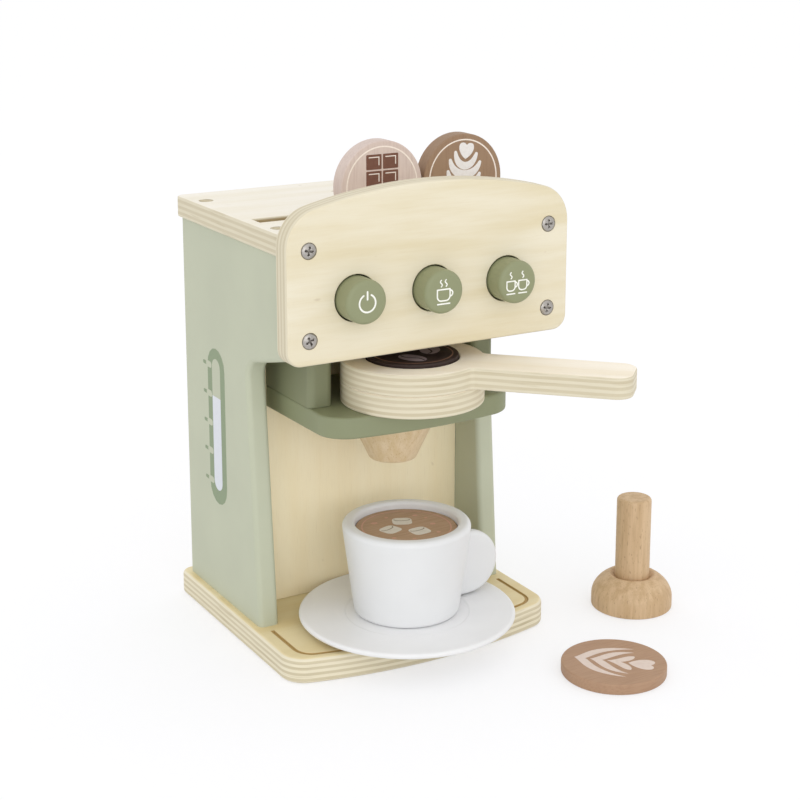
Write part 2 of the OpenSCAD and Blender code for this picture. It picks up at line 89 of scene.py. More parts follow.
class Value:
    """A socket of a node tree. Python's operators on it add Math nodes."""

    def __init__(self, nodes, socket):
        self.nodes = nodes
        self.socket = socket

    def math(self, operation, *others):
        numbers = dict(enumerate((self, *others)))
        return self.nodes.node("ShaderNodeMath", numbers, operation=operation)

    def __add__(self, other):
        return self.math("ADD", other)

    def __sub__(self, other):
        return self.math("SUBTRACT", other)

    def __rsub__(self, other):
        return (self * -1) + other

    def __mul__(self, other):
        return self.math("MULTIPLY", other)

    def __truediv__(self, other):
        return self.math("DIVIDE", other)

    def __abs__(self):
        return self.math("ABSOLUTE")

    __radd__ = __add__
    __rmul__ = __mul__


class Nodes:
    """A node tree and the call that adds a node to it."""

    def __init__(self, tree):
        self.tree = tree

    def node(self, kind, sockets=None, out=0, **settings):
        """Adds a node: its settings first, then its sockets' values or links, each
        socket by its number or by its name among those in use."""
        node = self.tree.nodes.new(kind)
        for key, value in settings.items():
            setattr(node, key, value)
        for key, value in (sockets or {}).items():
            socket = self.named(node.inputs, key)
            if isinstance(value, Value):
                self.tree.links.new(value.socket, socket)
            else:
                socket.default_value = value
        return Value(self, self.named(node.outputs, out))

    @staticmethod
    def named(sockets, key):
        if isinstance(key, int):
            return sockets[key]
        return next(s for s in sockets if s.enabled and s.name == key)


class Finish(Nodes):
    """A material or a world, with the calls that set or link its shader."""

    def __init__(self, name, owner=None, **sockets):
        self.owner = owner or bpy.data.materials.new(name)
        self.owner.use_nodes = True
        super().__init__(self.owner.node_tree)
        self.shader = self.tree.nodes.get("Principled BSDF")
        for socket, value in sockets.items():
            self.feed(socket, value)

    def feed(self, socket, value):
        """Sets a socket of the shader to a number or colour, or links it."""
        if isinstance(value, Value):
            self.tree.links.new(value.socket, self.shader.inputs[socket])
        else:
            self.shader.inputs[socket].default_value = value

    def seen(self):
        """1 for rays that a camera, mirror or glass sees, 0 for light that falls on things."""
        kinds = [self.node("ShaderNodeLightPath", out=kind) for kind in (
            "Is Camera Ray", "Is Glossy Ray", "Is Transmission Ray")]
        return kinds[0].math("MAXIMUM", kinds[1]).math("MAXIMUM", kinds[2])

    def show(self, surface):
        kind = "World Output" if isinstance(self.owner, bpy.types.World) else "Material Output"
        self.tree.links.new(surface.socket, self.tree.nodes[kind].inputs["Surface"])


def grey(level):
    return (level, level, level, 1)


world = Finish("studio", bpy.data.worlds.new("studio"))
bpy.context.scene.world = world.owner
world.show(world.node("ShaderNodeBackground", {"Color": grey(1), "Strength": 1.0}))

sweep = Finish("white_sweep")
matt = sweep.node("ShaderNodeBsdfDiffuse", {"Color": grey(0.86)})
glow = sweep.node("ShaderNodeEmission", {"Color": grey(1), "Strength": 0.58})
shade = sweep.node("ShaderNodeBsdfDiffuse", {"Color": (0.42, 0.42, 0.435, 1)})
bright = sweep.node("ShaderNodeAddShader", {0: glow, 1: shade})
sweep.show(sweep.node("ShaderNodeMixShader", {0: sweep.seen(), 1: matt, 2: bright}))

FLOOR_R, FLOOR_Z, FLOOR_SIDES = 6.0, -0.05 * MM, 96
floor_mesh = bpy.data.meshes.new("floor")
floor_mesh.from_pydata(
    [(FLOOR_R * math.cos(a), FLOOR_R * math.sin(a), FLOOR_Z)
     for a in (2 * math.pi * k / FLOOR_SIDES for k in range(FLOOR_SIDES))],
    [], [list(range(FLOOR_SIDES))],
)
floor_mesh.materials.append(sweep.owner)
floor = added("floor", floor_mesh)

LAMP_SIZE = 1.2
toy_middle = Vector((0, 0, 0.12))
for name, stand, power in (("lamp_low_front", (-0.3, -1.9, 0.3), 5.5),
                           ("lamp_left", (-1.2, -1.5, 1.4), 3.0)):
    light = bpy.data.lights.new(name, "AREA")
    light.size = LAMP_SIZE
    light.energy = power
    lamp = added(name, light)
    lamp.location = stand
    lamp.rotation_euler = (toy_middle - lamp.location).to_track_quat("-Z", "Y").to_euler()

# ---- Base board: birch plywood with a bowed front, sanded round along its edges,
# with a tray line burned into its top. The sides are glued and screwed to it.


def colour(code):
    """A screen colour such as #d8c69a as the linear colour that a shader takes."""
    parts = [int(code[i:i + 2], 16) / 255 for i in (1, 3, 5)]
    return (*(c / 12.92 if c <= 0.04045 else ((c + 0.055) / 1.055) ** 2.4 for c in parts), 1)


def mixed(finish, amount, low, high):
    """Blends two colours, each a code, a colour or a socket."""
    ends = [colour(c) if isinstance(c, str) else c for c in (low, high)]
    return finish.node("ShaderNodeMix", {"Factor": amount, "A": ends[0], "B": ends[1]},
                       out="Result", data_type="RGBA")


def step(finish, value, low, high):
    """0 below low, 1 above high and smooth between."""
    return finish.node("ShaderNodeMapRange", {"Value": value, "From Min": low, "From Max": high},
                       interpolation_type="SMOOTHSTEP")


def noise(finish, at, fine, detail=2.0, roughness=0.5):
    """Noise over three coordinates, as fine as one number or one for each of them says."""
    if isinstance(fine, tuple):
        at, fine = [a * f for a, f in zip(at, fine)], 1.0
    where = finish.node("ShaderNodeCombineXYZ", dict(enumerate(at)))
    return finish.node("ShaderNodeTexNoise", {
        "Vector": where, "Scale": fine, "Detail": detail, "Roughness": roughness})


def layered(finish, tint, *layers):
    """Lays tones over a tint one by one. Each layer is a pattern, the two values that it
    rises between, the tone's share at the most, and the tone."""
    for pattern, low, high, share, tone in layers:
        tint = mixed(finish, step(finish, pattern, low, high) * share, tint, tone)
    return tint


def place(finish, turn=0.0, what="Object", kind="POINT"):
    """The x, y and z of a point of the piece in metres, turned about Z first. It can also
    give those of the piece's outward direction."""
    given = finish.node("ShaderNodeTexCoord", out=what)
    turned_so = finish.node("ShaderNodeMapping", {"Vector": given, "Rotation": (0, 0, turn)},
                            vector_type=kind)
    return [finish.node("ShaderNodeSeparateXYZ", {0: turned_so}, out=i) for i in range(3)]


def dent(finish, height, strength, depth):
    """Feeds a bump of that depth in metres to the shader."""
    finish.feed("Normal", finish.node("ShaderNodeBump", {
        "Strength": strength, "Distance": depth, "Height": height}))


def plywood(name, node, thickness_axis, grain_axis, face, streak, turn=0.0, browner_where=None,
            light_ply="#e1d9c2", dark_ply="#d5cbb1"):
    """Birch plywood: grain on its faces, and on its edges the layers, every second one
    darker and each a little different. The optional mask gives 1 where a browner tone goes."""
    dirt = "#b3a37d"
    low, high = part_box(node)
    wood = Finish(name, IOR=1.45)
    at = place(wood, turn)
    out = place(wood, turn, "Normal", "NORMAL")
    thickness = high[thickness_axis] - low[thickness_axis]
    depth = (at[thickness_axis] - low[thickness_axis]) / thickness
    sheet = (at[grain_axis], at[3 - thickness_axis - grain_axis], depth)
    plies = next(n for n, least in ((9, 13), (7, 10), (5, 0)) if thickness > least * MM)

    wander = noise(wood, sheet, (26, 26, 0)) - 0.5
    ply = (depth + wander * 0.03) * plies
    wave = (ply * math.pi).math("SINE")
    layer = step(wood, wave, -0.6, 0.5)
    own = wood.node("ShaderNodeTexWhiteNoise", {"W": ply.math("FLOOR") + len(name)},
                    out="Value", noise_dimensions="1D")
    glue = 1 - step(wood, abs(wave + 0.35), 0.0, 0.14)

    fibres = noise(wood, sheet, (90, 1500, 60), 3.0)
    figure = noise(wood, sheet, (6, 55, 2), 4.0, 0.6)
    cloud = noise(wood, sheet, (9, 22, 2), 1.0)
    pins = noise(wood, sheet, (70, 110, 2), 0.0)
    face_tone = layered(
        wood, face, (figure, 0.34, 0.74, 1, streak), (cloud, 0.35, 0.75, 0.4, streak),
        (fibres, 0.5, 0.8, 0.16, "#d3c09a"), (pins, 0.80, 0.84, 0.5, "#9c7a4e"))

    pores = noise(wood, at, 1300)
    runs = noise(wood, (at[0], at[1], depth), (60, 60, 8), 3.0)
    long_tone = mixed(wood, runs * 0.7, light_ply, dark_ply)
    end_tone = mixed(wood, pores * 0.15 + runs * 0.2, dark_ply, dirt)
    edge_tone = mixed(wood, layer, end_tone, long_tone)
    tears = noise(wood, (at[0], at[1], ply), (35, 35, 1.3), 3.0)
    darker = step(wood, own, 0.5, 1.0) * (1 - layer) + step(wood, tears, 0.56, 0.7)
    edge_tone = mixed(wood, darker * 0.3, edge_tone, dirt)
    edge_tone = mixed(wood, glue * step(wood, runs, 0.4, 0.7) * 0.3, edge_tone, dirt)
    flat = step(wood, abs(out[thickness_axis]), 0.72, 0.93)
    tone = mixed(wood, flat, edge_tone, face_tone)
    if browner_where:
        tone = mixed(wood, browner_where(wood, at), tone, "#b3945a")
    wood.feed("Base Color", tone)
    wood.feed("Roughness", 0.47 + fibres * 0.16)
    dent(wood, fibres * 0.5 + figure * 0.3 + glue * (1 - flat) * -0.5, 0.35, 0.06 * MM)
    return wood


def finished(name, mesh, finish, body, replaced=()):
    """Makes the object of a mesh, gives it its finish and lets it ride on its body."""
    piece = added(name, mesh)
    mesh.materials.clear()
    mesh.materials.append(finish.owner)
    if replaced:
        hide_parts(*replaced)
    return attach(piece, body)


def baked(thing):
    """The mesh that an object's modifiers make of it."""
    bpy.context.view_layer.update()
    evaluated = thing.evaluated_get(bpy.context.evaluated_depsgraph_get())
    return bpy.data.meshes.new_from_object(evaluated)


WELD, SHARP = 0.001 * MM, math.radians(42)


def softened(piece):
    """Gives flat faces an even shade and rounded edges a smooth one."""
    piece.data.shade_smooth()
    piece.data.set_sharp_from_angle(angle=SHARP)
    weighted = piece.modifiers.new("weighted", "WEIGHTED_NORMAL")
    weighted.keep_sharp = True
    weighted.weight = 80
    mesh = baked(piece)
    piece.modifiers.remove(weighted)
    piece.data = mesh
    mesh.name = piece.name
    return piece


def solid_of(node):
    """A CAD node's mesh to work on, with the corners that its faces share made one."""
    bm = bmesh.new()
    bm.from_mesh(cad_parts[node].data)
    bmesh.ops.remove_doubles(bm, verts=bm.verts, dist=WELD)
    return bm


def mesh_of(bm, name):
    mesh = bpy.data.meshes.new(name)
    bm.to_mesh(mesh)
    bm.free()
    return mesh


def sanded(name, node, finish, body, rounds):
    """A copy of a sawn piece with its edges sanded round. rounds lists each radius in
    millimetres with a test of an edge's middle, in millimetres, that says where it goes."""
    bm = solid_of(node)
    bmesh.ops.dissolve_limit(bm, angle_limit=math.radians(0.5), verts=bm.verts, edges=bm.edges)
    for radius, chosen in rounds:
        sharp = [e for e in bm.edges if e.calc_face_angle(0) > SHARP
                 and chosen((e.verts[0].co + e.verts[1].co) * 0.5 / MM)]
        bmesh.ops.bevel(bm, geom=sharp, offset=radius * MM, segments=4, profile=0.5,
                        affect="EDGES", clamp_overlap=False)
    bmesh.ops.remove_doubles(bm, verts=bm.verts, dist=2 * WELD)
    return softened(finished(name, mesh_of(bm, name), finish, body, [node]))


base_low, base_high = (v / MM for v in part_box("base_board"))
# In mm: an edge whose middle is this near to an outline or a bore is part of it.
NEAR = 5.0
BOW_R, BOW_BACK = 276.0, -40.0
LINE_BACK, LINE_REACH, LINE_MARGIN = -26.0, 74.0, 3.3
bow_y = base_low.y + BOW_R


def base_rim(p):
    """True on the outer edges of the base, and not along its tray line."""
    at_bow = math.hypot(p.x, p.y - bow_y) > BOW_R - LINE_MARGIN / 2 and p.y < BOW_BACK
    return abs(p.x) > base_high.x - NEAR or p.y > base_high.y - NEAR or at_bow


def line_rim(p):
    """True on the upper edges of the tray line."""
    return p.z > base_high.z - 0.2 and p.y < LINE_BACK + NEAR and not base_rim(p)


def tray_line(wood, at):
    """1 in the burned line, which lies lower than the board's top, in its front half."""
    x, y, z = (value / MM for value in at)
    sunk = step(wood, z, base_high.z - 2, base_high.z - 1.5) * (
        1 - step(wood, z, base_high.z - 0.2, base_high.z - 0.01))
    inside = 1 - step(wood, abs(x), LINE_REACH - 0.5, LINE_REACH)
    from_bow = (x * x + (y - bow_y) * (y - bow_y)).math("SQRT")
    off_bow = 1 - step(wood, from_bow, BOW_R - LINE_MARGIN - 0.3, BOW_R - LINE_MARGIN)
    return sunk * inside * off_bow * (1 - step(wood, y, LINE_BACK - 1, LINE_BACK))


base_wood = plywood("base_plywood", "base_board", 2, 0, "#eaddb6", "#dfcb98",
                    browner_where=tray_line, light_ply="#ece4cd", dark_ply="#e2d8bc")
sanded("base_board_finished", "base_board", base_wood, "machine",
       [(2.4, base_rim), (0.7, line_rim)])

# ---- Side panels: two plywood panels, filled, sanded round and sprayed in a satin
# pale green, so that the layers of their edges don't show.


def paint(name, tone, roughness=0.5):
    """Sprayed satin paint: a faint cloudiness and the fine skin that the spray leaves."""
    coat = Finish(name, IOR=1.47)
    at = place(coat)
    cloud = noise(coat, at, 24, 3.0)
    skin = noise(coat, at, 950)
    specks = noise(coat, at, 2600, 0.0)
    dark, light = ((*(c * share for c in colour(tone)[:3]), 1) for share in (0.96, 1.02))
    coat.feed("Base Color", layered(coat, dark, (cloud, 0.25, 0.75, 1, light),
                                    (specks, 0.70, 0.82, 0.18, dark)))
    coat.feed("Roughness", roughness - 0.05 + cloud * 0.06 + skin * 0.06)
    dent(coat, skin * 0.7 + specks * 0.3, 0.4, 0.012 * MM)
    return coat


def everywhere(p):
    return True


PANEL_GREEN = "#bec2ab"
panel_paint = paint("pale_green_paint", PANEL_GREEN)
panel_low, panel_high = (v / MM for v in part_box("left_side_panel"))
panel_middle = abs(panel_low.x + panel_high.x) / 2
front_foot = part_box("front_board")[0].z / MM


def off_bores(p):
    """True away from the bores, which run down the middle of each side panel."""
    return abs(abs(p.x) - panel_middle) > NEAR


def panel_rim(p):
    """True on a side panel's outline, and not in its bores or where it is glued."""
    return panel_low.z + 0.5 < p.z < panel_high.z - 0.5 and off_bores(p)


def foot_rim(p):
    """True on the front edges of a side panel, below the front board."""
    return panel_rim(p) and p.y < 0 and p.z < front_foot


for side in ("left_side_panel", "right_side_panel"):
    sanded(side + "_painted", side, panel_paint, "machine",
           [(3.0, foot_rim), (1.2, panel_rim)])

# ---- Housing boards: the panel at the back of the alcove, the board over it, the
# rear panel and the rail behind the buttons, all of bare plywood and glued in.
# The two round the alcove are given a paler tone than the others: painted light for the shaded
# alcove.
ALCOVE_LIT_SHEET, FRONT_SHEET = ("#fef2d2", "#faebc6"), ("#e9e1cb", "#dccfac")
for board, thickness_axis, grain_axis, tones in (
    ("alcove_back_panel", 1, 2, ALCOVE_LIT_SHEET), ("ceiling_board", 2, 0, ALCOVE_LIT_SHEET),
    ("rear_panel", 1, 2, FRONT_SHEET), ("button_rail", 1, 0, FRONT_SHEET),
):
    board_wood = plywood(board + "_plywood", board, thickness_axis, grain_axis, *tones)
    sanded(board + "_finished", board, board_wood, "machine",
           [(0.4, everywhere)])

# ---- Top board: plywood with three slots that hold coffee discs on edge. It stands
# 2 mm over each side panel and is plugged to them.
top_low, top_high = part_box("top_board")
SLOT_ZONE_Y, SLOT_BROWN_SHARE = 30, 0.6


def top_rim(p):
    """True on the outer edges and round the slots, and not round the plugs."""
    return off_bores(p) or p.y > top_high.y / MM - NEAR or abs(p.y) < SLOT_ZONE_Y


def slot_walls(wood, at):
    """A browner tone on the walls of the slots, which lie well inside the board's outline."""
    inside = SLOT_BROWN_SHARE
    for axis in (0, 1):
        middle, reach = (top_low + top_high)[axis] / 2, (top_high - top_low)[axis] / 2
        inside = inside * (1 - step(wood, abs(at[axis] - middle), reach - 8 * MM, reach - 5 * MM))
    return inside * (1 - step(wood, at[2], top_high.z - 1.2 * MM, top_high.z - 0.8 * MM))


top_wood = plywood("top_plywood", "top_board", 2, 0, "#f4efe4", "#eee7d5", browner_where=slot_walls)
sanded("top_board_finished", "top_board", top_wood, "machine",
       [(1.0, top_rim)])

# ---- Front board: plywood with an arched top and round corners, screwed over the
# ends of the sides and the top, with three holes for the buttons.
SCREW_R, SCREW_ZONE, BUTTON_ZONE = 4.3, 7, 14
BUTTONS = ("power", "one_cup", "two_cups")
screws_low, screws_high = (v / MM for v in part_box("front_screws"))
button_middles = [(low + high) / 2 / MM for low, high in (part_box("button_" + b) for b in BUTTONS)]


def button_holes(p):
    """True round the holes for the buttons."""
    return any(max(abs(p.x - m.x), abs(p.z - m.z)) < BUTTON_ZONE for m in button_middles)


def front_rim(p):
    """True on the outer edges of the front board, and not round its holes."""
    at_screw = all(min(abs(p[i] - screws_low[i] - SCREW_R), abs(p[i] - screws_high[i] + SCREW_R))
                   < SCREW_ZONE for i in (0, 2))
    return not at_screw and not button_holes(p)


front_wood = plywood("front_plywood", "front_board", 1, 0, *FRONT_SHEET)
sanded("front_board_finished", "front_board", front_wood, "machine",
       [(1.2, front_rim), (0.5, button_holes)])

# ---- Screws: bright steel, countersunk, with a cross recess. Four with a domed
# head hold the front board, and four with a flat head hold the base.


class Shape(Nodes):
    """A geometry tree with named inputs, and the call that runs it and bakes its mesh."""

    def __init__(self, name, **inputs):
        super().__init__(bpy.data.node_groups.new(name, "GeometryNodeTree"))
        sockets = self.tree.interface
        for way in ("OUTPUT", "INPUT"):
            sockets.new_socket("Geometry", in_out=way, socket_type="NodeSocketGeometry")
        self.keys = {}
        for label, kind in inputs.items():
            socket = sockets.new_socket(label, in_out="INPUT", socket_type="NodeSocket" + kind)
            self.keys[label] = socket.identifier
        self.entry = self.tree.nodes.new("NodeGroupInput")
        self.exit = self.tree.nodes.new("NodeGroupOutput")

    def given(self, label):
        return Value(self, self.entry.outputs[label])

    def result(self, geometry):
        """Ends the tree: the geometry as one mesh, in its finish."""
        solid = self.node("GeometryNodeRealizeInstances", {"Geometry": geometry})
        last = self.node("GeometryNodeSetMaterial", {
            "Geometry": solid, "Material": self.given("Finish")})
        self.tree.links.new(last.socket, self.exit.inputs["Geometry"])

    def bake(self, mesh, **values):
        """Runs the tree on a mesh and returns the result as a plain mesh."""
        thing = added(mesh.name, mesh)
        modifier = thing.modifiers.new("shape", "NODES")
        modifier.node_group = self.tree
        for label, value in values.items():
            modifier[self.keys[label]] = value
        result = baked(thing)
        bpy.data.objects.remove(thing)
        return result


four = Shape("four_fixings", Piece="Object", Width="Float", Height="Float", Spin="Float",
             Seed="Int", Middle="Vector", Turn="Rotation", Finish="Material")
corners = four.node("GeometryNodeMeshGrid", {
    "Size X": four.given("Width"), "Size Y": four.given("Height"),
    "Vertices X": 2, "Vertices Y": 2}, out="Mesh")
single = four.node("GeometryNodeObjectInfo", {"Object": four.given("Piece")}, out="Geometry")
placed = four.node("GeometryNodeInstanceOnPoints", {"Points": corners, "Instance": single})
spin = four.node("FunctionNodeRandomValue", {
    "Min": 0.0, "Max": four.given("Spin"), "Seed": four.given("Seed")},
    out="Value", data_type="FLOAT")
spun = four.node("GeometryNodeRotateInstances", {
    "Instances": placed, "Rotation": four.node("ShaderNodeCombineXYZ", {"Z": spin})})
laid = four.node("GeometryNodeTransform", {
    "Geometry": spun, "Translation": four.given("Middle"), "Rotation": four.given("Turn")})
four.result(laid)


def alone(group, middle, axes, turn):
    """One solid of a group of four as an object of its own, stood head down at the
    origin, with its diameter. It is the one past the group's middle along both axes."""
    bm = solid_of(group)
    others = [v for v in bm.verts if any(v.co[i] < middle[i] for i in axes)]
    bmesh.ops.delete(bm, geom=others, context="VERTS")
    bmesh.ops.transform(bm, matrix=Matrix.Rotation(-turn, 4, "X"), verts=bm.verts)
    low, high = (Vector([pick(v.co[i] for v in bm.verts) for i in range(3)])
                 for pick in (min, max))
    foot = Vector(((low.x + high.x) / 2, (low.y + high.y) / 2, low.z))
    bmesh.ops.translate(bm, vec=-foot, verts=bm.verts)
    name = group + "_one"
    return added(name, mesh_of(bm, name)), high.x - low.x


def set_of_four(name, group, finish, turn=0.0):
    """Four like fixings at the corners of a rectangle, each turned its own way about
    itself. Their rectangle lies flat, or stands if it is turned."""
    low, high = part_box(group)
    middle = (low + high) / 2
    across, through = (2, 1) if turn else (1, 2)
    one, size = alone(group, middle, (0, across), turn)
    middle[through] = low[through]
    mesh = four.bake(bpy.data.meshes.new(name), Piece=one, Width=high.x - low.x - size,
                     Height=high[across] - low[across] - size, Spin=math.pi, Seed=3,
                     Middle=middle, Turn=(turn, 0.0, 0.0), Finish=finish.owner)
    bpy.data.objects.remove(one)
    return softened(finished(name, mesh, finish, "machine", [group]))


steel = Finish("bright_steel", Metallic=1.0)
steel_at = place(steel)
scratches = noise(steel, steel_at, (300, 300, 4200))
tarnish = noise(steel, steel_at, 700)
steel.feed("Base Color", mixed(steel, tarnish, "#9b9690", "#bcb8b3"))
steel.feed("Roughness", 0.22 + scratches * 0.2)
dent(steel, scratches, 0.25, 0.01 * MM)

set_of_four("front_screws_bright", "front_screws", steel, turn=-math.pi / 2)
set_of_four("base_screws_bright", "base_screws", steel)

# ---- Plugs and dowels: short beech pins, glued in and sanded flush. The four in the
# top show their end grain, and the two in the shelf can't be seen.


def beech(name, tone, streak, fleck):
    """Turned beech: its grain runs along Z, with short dark flecks between the pores."""
    wood = Finish(name, IOR=1.45)
    at = place(wood)
    bend = noise(wood, at, (40, 40, 9)) / 260
    rings = noise(wood, (at[0] + bend, at[1], at[2]), (260, 260, 14), 3.0, 0.6)
    fibres = noise(wood, at, (1700, 1700, 70))
    flecks = noise(wood, at, (1500, 1500, 330), 1.0)
    mottle = noise(wood, at, (120, 120, 60), 3.0)
    wood.feed("Base Color", layered(
        wood, tone, (rings, 0.35, 0.68, 1, streak), (mottle, 0.45, 0.75, 0.35, streak),
        (fibres, 0.5, 0.85, 0.3, fleck), (flecks, 0.62, 0.74, 0.55, fleck)))
    wood.feed("Roughness", 0.5 + fibres * 0.18)
    dent(wood, fibres * 0.6 - flecks * 0.4, 0.35, 0.04 * MM)
    return wood


pin_wood = beech("pin_beech", "#d3c8aa", "#c6b792", "#a59064")
set_of_four("top_plugs_sanded", "top_dowels", pin_wood)
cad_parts["shelf_dowels"].data.materials.clear()
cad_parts["shelf_dowels"].data.materials.append(pin_wood.owner)

# ---- Push buttons: turned, painted green and printed with a white sign: a switch,
# a cup, and two cups. A collar keeps each behind the front board.
turned = Shape("turned_profile", Segments="Int", Finish="Material")
profile_points = turned.node("GeometryNodeAttributeDomainSize", {
    "Geometry": turned.given("Geometry")}, out="Point Count", component="MESH")
blank = turned.node("GeometryNodeMeshGrid", {
    "Vertices X": turned.given("Segments") + 1, "Vertices Y": profile_points}, out="Mesh")
index = turned.node("GeometryNodeInputIndex")
profile_spot = turned.node("GeometryNodeSampleIndex", {
    "Geometry": turned.given("Geometry"), "Value": turned.node("GeometryNodeInputPosition"),
    "Index": index.math("MODULO", profile_points)}, out="Value", data_type="FLOAT_VECTOR")
angle = (index / profile_points).math("FLOOR") * (2 * math.pi) / turned.given("Segments")
spun_spot = turned.node("ShaderNodeVectorRotate", {
    "Vector": profile_spot, "Axis": (0, 0, 1), "Angle": angle})
skin = turned.node("GeometryNodeSetPosition", {"Geometry": blank, "Position": spun_spot})
welded = turned.node("GeometryNodeMergeByDistance", {"Geometry": skin, "Distance": WELD})
turned.result(welded)


def rounded(corners, steps=6):
    """A line through corners, each x, y and, if it isn't sharp, the radius of its rounding."""
    line = []
    for k, corner in enumerate(corners):
        p = Vector(corner[:2])
        if len(corner) == 2:
            line.append(p)
            continue
        near = corners[k - 1], corners[(k + 1) % len(corners)]
        ways = [(Vector(other[:2]) - p).normalized() for other in near]
        half = ways[0].angle(ways[1]) / 2
        middle = p + (ways[0] + ways[1]).normalized() * corner[2] / math.sin(half)
        start, end = ((p + way * corner[2] / math.tan(half) - middle).normalized() for way in ways)
        line += [middle + start.slerp(end, j / steps) * corner[2] for j in range(steps + 1)]
    return [tuple(p) for p in line]


def stood(mesh, stand):
    """Turns a mesh's faces outwards and lays it where it belongs."""
    bm = bmesh.new()
    bm.from_mesh(mesh)
    bmesh.ops.recalc_face_normals(bm, faces=bm.faces)
    bmesh.ops.transform(bm, matrix=stand, verts=bm.verts)
    bm.to_mesh(mesh)
    bm.free()
    return mesh


def on_lathe(name, node, corners, stand, finish, body, segments=128):
    """A piece turned about its own Z axis from corners that give its radii and heights in
    millimetres, then stood where it belongs."""
    line = rounded(corners)
    profile = bpy.data.meshes.new(name + "_profile")
    profile.from_pydata([(r * MM, 0, z * MM) for r, z in line],
                        [(k, k + 1) for k in range(len(line) - 1)], [])
    mesh = stood(turned.bake(profile, Segments=segments, Finish=finish.owner), stand)
    return softened(finished(name, mesh, finish, body, [node]))


def arc(x, y, r, start, end, steps=24):
    """Points round a centre from one angle to another, in degrees."""
    turns = [math.radians(start + (end - start) * k / steps) for k in range(steps + 1)]
    return [(x + r * math.cos(a), y + r * math.sin(a)) for a in turns]


def stroke(path, width):
    """The outline of a pen stroke with round ends along a path. Its width is one number,
    or one for each point."""
    points = [Vector(p) for p in path]
    widths = width if isinstance(width, list) else [width] * len(points)
    ways = [(b - a).normalized() for a, b in zip(points, points[1:])]
    left, right_side = [], []
    for k, p in enumerate(points):
        near = ways[max(0, k - 1):k + 1]
        way = sum(near, Vector((0, 0))).normalized()
        across = Vector((-way.y, way.x)) * (widths[k] / 2 / max(0.5, way.dot(near[0])))
        left.append(tuple(p + across))
        right_side.append(tuple(p - across))
    first, last = (math.degrees(math.atan2(way.y, way.x)) for way in (ways[0], ways[-1]))
    tail = arc(*path[0], widths[0] / 2, first + 90, first + 270, 8)[1:-1]
    tip = arc(*path[-1], widths[-1] / 2, last - 90, last + 90, 8)[1:-1]
    return [tail + right_side + tip + left[::-1]]


def hoop(r, width):
    """A closed ring as a row of four-sided patches."""
    steps = 96
    inner, outer = (arc(0, 0, r + side * width / 2, 0, 360, steps)[:-1] for side in (-1, 1))
    after = [(k + 1) % steps for k in range(steps)]
    return [[inner[k], outer[k], outer[j], inner[j]] for k, j in enumerate(after)]


INK, INK_ROOT, INK_STEP = 0.03, 0.02, 0.003


def printed(name, shapes, spot, ink, body, first_layer=0):
    """Screen-printed shapes on a face. Each shape is a list of flat outlines in mm,
    and becomes a skin of ink on the XY plane, a hair above the one before it and rooted
    a hair below. The matrix spot lays the plane on the face."""
    bm = bmesh.new()
    for layer, outlines in enumerate(shapes):
        made = {}
        for p in (p for outline in outlines for p in outline):
            if p not in made:
                made[p] = bm.verts.new((p[0] * MM, p[1] * MM, -INK_ROOT * MM))
        sheet = [bm.faces.new([made[p] for p in outline]) for outline in outlines]
        raised = bmesh.ops.extrude_face_region(bm, geom=sheet, use_keep_orig=True)["geom"]
        height = (INK + INK_ROOT + INK_STEP * (first_layer + layer)) * MM
        bmesh.ops.translate(bm, vec=(0, 0, height),
                            verts=[g for g in raised if isinstance(g, bmesh.types.BMVert)])
    bmesh.ops.recalc_face_normals(bm, faces=bm.faces)
    bmesh.ops.triangulate(bm, faces=bm.faces)
    bmesh.ops.transform(bm, matrix=spot, verts=bm.verts)
    return finished(name, mesh_of(bm, name), ink, body)


def screen_ink(name, tone, thin, worn=0.5):
    """Screen ink: matt, and thinner here and there where the screen laid less of it."""
    ink = Finish(name, IOR=1.45)
    at = place(ink)
    patches = noise(ink, at, 420, 3.0)
    weave = noise(ink, at, 2400, 0.0)
    worn_at = step(ink, patches + weave * 0.3, 0.55, 0.95) * worn
    ink.feed("Base Color", mixed(ink, worn_at, tone, thin))
    ink.feed("Roughness", 0.52 + weave * 0.15)
    return ink


def mug(x, y, w, h, pen=0.75):
    """A plain mug seen from the side, with its handle to the right and a dish below it."""
    bend = h * 0.4
    body = [(x - w / 2, y + h), *arc(x - w / 2 + bend, y + bend, bend, 180, 270, 8),
            *arc(x + w / 2 - bend, y + bend, bend, 270, 360, 8), (x + w / 2, y + h)]
    rim = [body[0], body[-1]]
    ear = arc(x + w / 2, y + h * 0.62, h * 0.27, -80, 80, 12)
    dish = [(x - w * 0.48, y - 1.6), (x + w * 0.48, y - 1.6)]
    return [stroke(line, pen) for line in (body, rim, ear, dish)]


def steam(x, y, h):
    """A wisp of steam: one slow wave."""
    return [stroke([(x + 0.55 * math.sin(2 * math.pi * k / 12), y + h * k / 12)
                    for k in range(13)], 0.65)]


def front_of(node):
    """The middle of a piece's front, as the matrix that lays a drawing on it upright."""
    low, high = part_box(node)
    middle = ((low.x + high.x) / 2, low.y, (low.z + high.z) / 2)
    return Matrix.Translation(middle) @ Matrix.Rotation(math.pi / 2, 4, "X")


